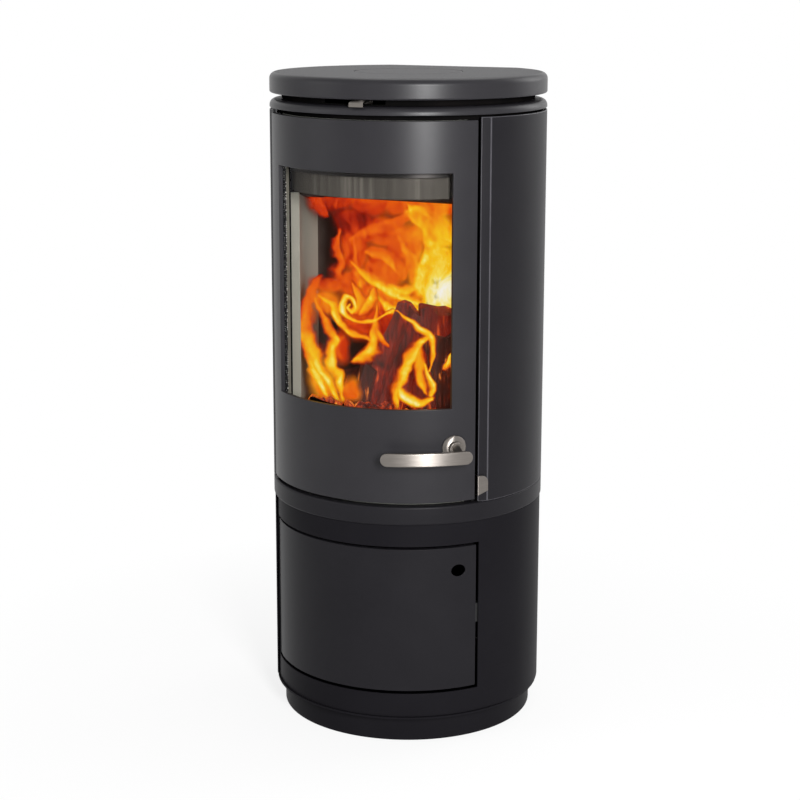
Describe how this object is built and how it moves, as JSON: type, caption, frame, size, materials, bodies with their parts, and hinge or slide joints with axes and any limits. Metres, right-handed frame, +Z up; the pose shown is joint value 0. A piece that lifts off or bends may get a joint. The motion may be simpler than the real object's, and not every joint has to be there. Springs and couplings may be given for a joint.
{
  "type": "wood stove",
  "caption": "Round wood stove with a curved glass door, lever handle, air controls and a lift-off flue lid, standing on a pedestal with its own door for storing logs.",
  "frame": {"origin": "on the floor, midway across the stove and midway between the handle bar and the end of the rear flue outlet, which is also the axis of the round body", "axes": "+Z up, -Y towards the front of the stove, +X towards the side that the handle is on"},
  "size_m": [0.4298, 0.481, 1.018],
  "materials": {
    "painted_cast": "satin charcoal stove paint",
    "painted_sheet": "satin charcoal stove paint",
    "dark_cast": "matte black, sooty inside",
    "bare_steel": "plain mild steel",
    "brushed_stainless": "brushed stainless steel",
    "ceramic_glass": "clear ceramic glass with a warm tint",
    "knitted_rope": "black knitted glass-fibre rope",
    "lining_board": "pressed insulating board, smoke-stained",
    "magnet_black": "black magnet housing"
  },
  "bodies": {
    "stove_body": {"base_ring": "painted_cast", "side_panel_right": "painted_cast", "side_panel_left": "painted_cast", "collar": "painted_cast", "top_plate": "painted_cast", "plinth": "painted_sheet", "base_plate": "painted_sheet", "pedestal_shell": "painted_sheet", "rear_panel": "painted_sheet", "neck": "dark_cast", "fire_box_shell": "dark_cast", "fire_box_frame": "dark_cast", "fire_box_lid": "dark_cast", "floor_plate": "dark_cast", "grate": "dark_cast", "log_guard": "dark_cast", "rear_flue_spigot": "dark_cast", "pedestal_hinge_lower": "bare_steel", "pedestal_hinge_upper": "bare_steel", "air_deflector": "bare_steel", "latch_keeper": "bare_steel", "ash_pan": "bare_steel", "ash_pan_rail_left": "bare_steel", "ash_pan_rail_right": "bare_steel", "door_hinge_pin_lower": "bare_steel", "door_hinge_pin_upper": "bare_steel", "primary_air_rest": "bare_steel", "rear_panel_screw_1": "bare_steel", "rear_panel_screw_2": "bare_steel", "rear_panel_screw_3": "bare_steel", "rear_panel_screw_4": "bare_steel", "lining_right": "lining_board", "lining_left": "lining_board", "lining_corner_right": "lining_board", "lining_corner_left": "lining_board", "lining_back": "lining_board", "baffle": "lining_board", "pedestal_magnet": "magnet_black"},
    "stove_door": {"door_leaf": "painted_cast", "door_glass": "ceramic_glass", "glass_rope": "knitted_rope", "door_seal": "knitted_rope", "glass_retainer_upper": "bare_steel", "glass_retainer_lower": "bare_steel", "handle_rosette": "brushed_stainless"},
    "door_handle": {"handle_spindle": "bare_steel", "handle_lever": "brushed_stainless", "latch_cam": "bare_steel"},
    "flue_lid_body": {"flue_lid": "painted_cast"},
    "air_wash_control": {"air_wash_slide": "bare_steel", "air_wash_lever": "brushed_stainless"},
    "primary_air_control": {"primary_air_tab": "brushed_stainless", "primary_air_valve": "bare_steel"},
    "pedestal_door_body": {"pedestal_door": "painted_sheet"}
  },
  "joints": [
    {"name": "stove_door_swing", "type": "hinge", "parent": "stove_body", "child": "stove_door", "pos_m": [-0.16396, -0.12718, 0.6713], "axis": [0, 0, -1], "range_deg": [0, 110]},
    {"name": "door_handle_turn", "type": "hinge", "parent": "stove_door", "child": "door_handle", "pos_m": [0.15421, -0.15969, 0.47], "axis": [-0.6947, 0.7193, 0], "range_deg": [0, 60]},
    {"name": "flue_lid_lift", "type": "slide", "parent": "stove_body", "child": "flue_lid_body", "axis": [0, 0, 1], "range_m": [0, 0.05]},
    {"name": "air_wash_turn", "type": "hinge", "parent": "stove_body", "child": "air_wash_control", "pos_m": [0, 0, 0.967], "axis": [0, 0, 1], "range_deg": [-15.6, 6.4]},
    {"name": "primary_air_pull", "type": "slide", "parent": "stove_body", "child": "primary_air_control", "axis": [0.8156, -0.5786, 0], "range_m": [0, 0.01]},
    {"name": "pedestal_door_swing", "type": "hinge", "parent": "stove_body", "child": "pedestal_door_body", "pos_m": [-0.1609, -0.12213, 0.1975], "axis": [0, 0, -1], "range_deg": [0, 110]}
  ]
}
